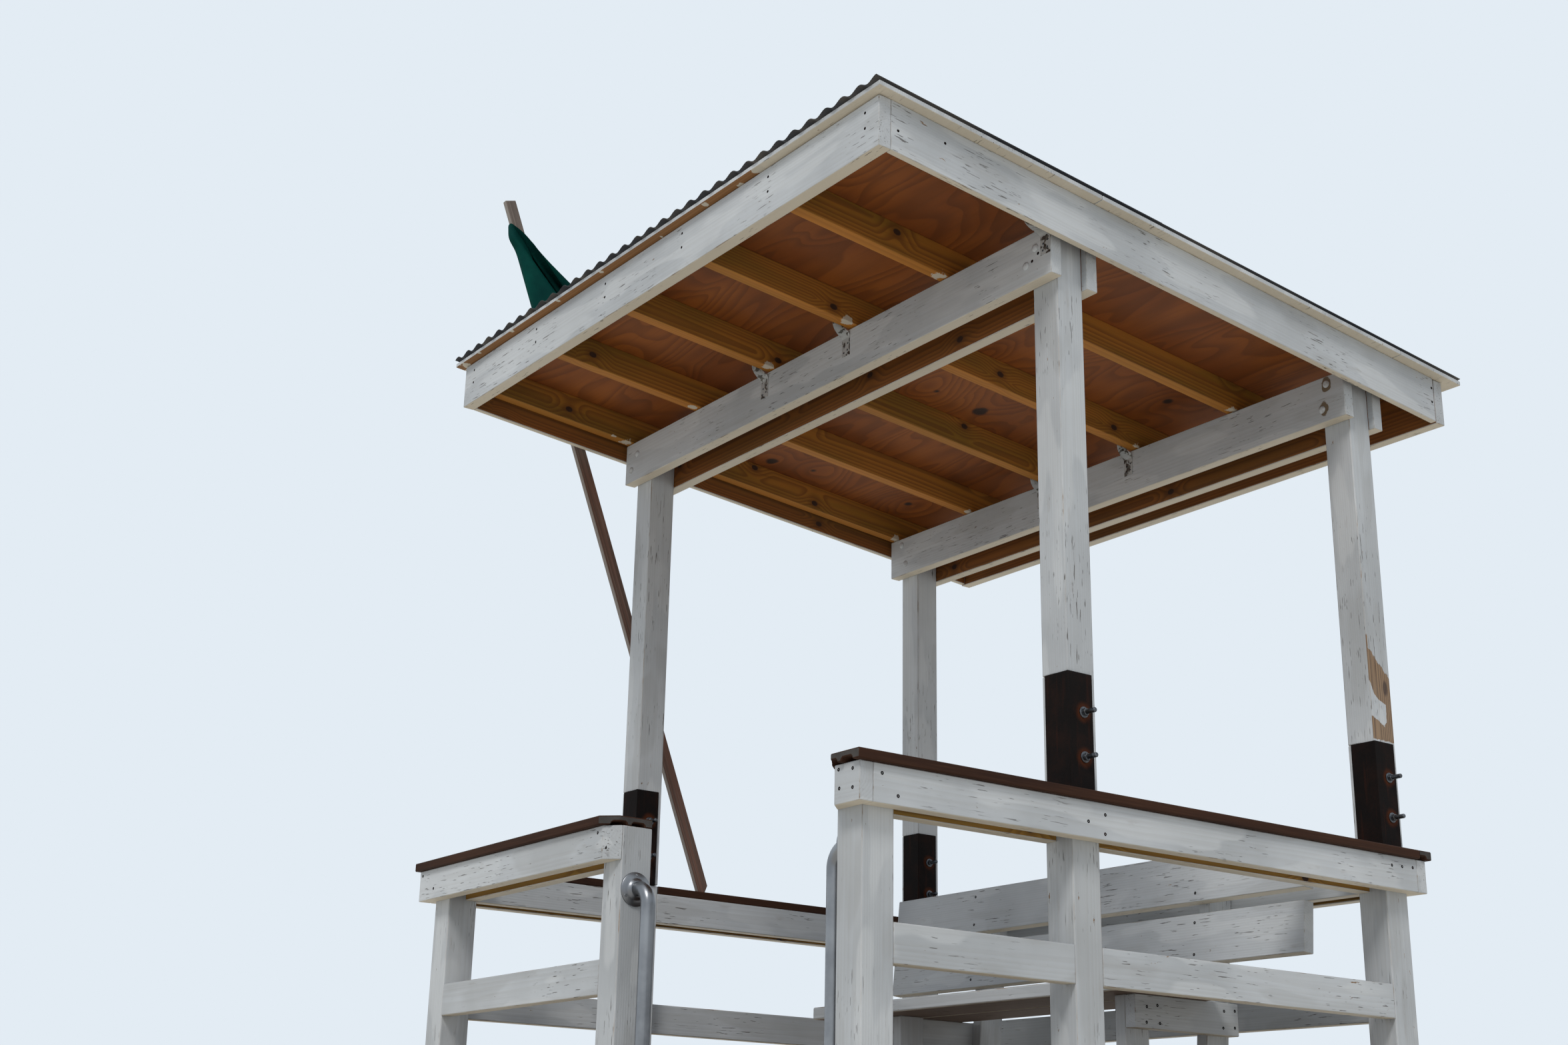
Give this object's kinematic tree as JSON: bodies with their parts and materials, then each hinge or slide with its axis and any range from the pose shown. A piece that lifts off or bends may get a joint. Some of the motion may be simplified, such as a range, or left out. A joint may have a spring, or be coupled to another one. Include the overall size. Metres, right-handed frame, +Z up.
{
  "type": "lifeguard tower",
  "caption": "Raised timber lifeguard tower: railed deck with a bench and ladder opening under a sloping corrugated roof on posts.",
  "frame": {"origin": "middle of the foot of the front right post, on the ground", "axes": "+Z up; the front with the ladder opening faces -Y; +X runs to the right seen from the front"},
  "size_m": [2.2794, 2.9444, 4.7945],
  "materials": {
    "white_paint": "weathered white paint on softwood boards, with grain, cracks and nail stains",
    "bare_pine": "bare pressure-treated pine, honey brown with grain and knots",
    "plywood": "bare red-brown plywood underneath, white painted edges",
    "grey_wood": "bare weathered board, grey brown",
    "composite": "brown wood-plastic deck board with a fine embossed grain",
    "angle_steel": "dark brown painted steel with rust",
    "galvanised": "dull galvanised steel with rust spots",
    "stainless": "brushed stainless tube",
    "roof_sheet": "weathered charcoal corrugated sheet",
    "flag_cloth": "dark green woven flag cloth"
  },
  "bodies": {
    "root": {"front_right_post": "white_paint", "opening_post": "white_paint", "front_left_post": "white_paint", "mid_right_post": "white_paint", "mid_left_post": "white_paint", "back_right_post": "white_paint", "back_left_post": "white_paint", "roof_post_mid_right": "white_paint", "roof_post_mid_left": "white_paint", "roof_post_back_right": "white_paint", "roof_post_back_left": "white_paint", "splice_angles": "angle_steel", "splice_bolts": "galvanised", "side_rims": "white_paint", "end_rims": "white_paint", "joists": "bare_pine", "deck_boards": "composite", "leg_braces": "white_paint", "right_rail": "white_paint", "left_rail": "white_paint", "back_rail": "white_paint", "front_rail": "white_paint", "right_cap": "composite", "left_cap": "composite", "back_cap": "composite", "front_cap": "composite", "foot_rails": "white_paint", "left_grab_bar": "stainless", "right_grab_bar": "stainless", "bench_seat": "white_paint", "bench_back": "white_paint", "bench_legs": "white_paint", "bench_cross_pieces": "white_paint", "mid_beam": "white_paint", "back_beam": "white_paint", "rafters": "bare_pine", "fascia_boards": "white_paint", "rake_boards": "white_paint", "roof_deck": "plywood", "roof_sheet": "roof_sheet", "rafter_ties": "galvanised", "ladder_stringers": "white_paint", "ladder_treads": "white_paint", "flag_board": "grey_wood", "flag": "flag_cloth"}
  },
  "joints": []
}
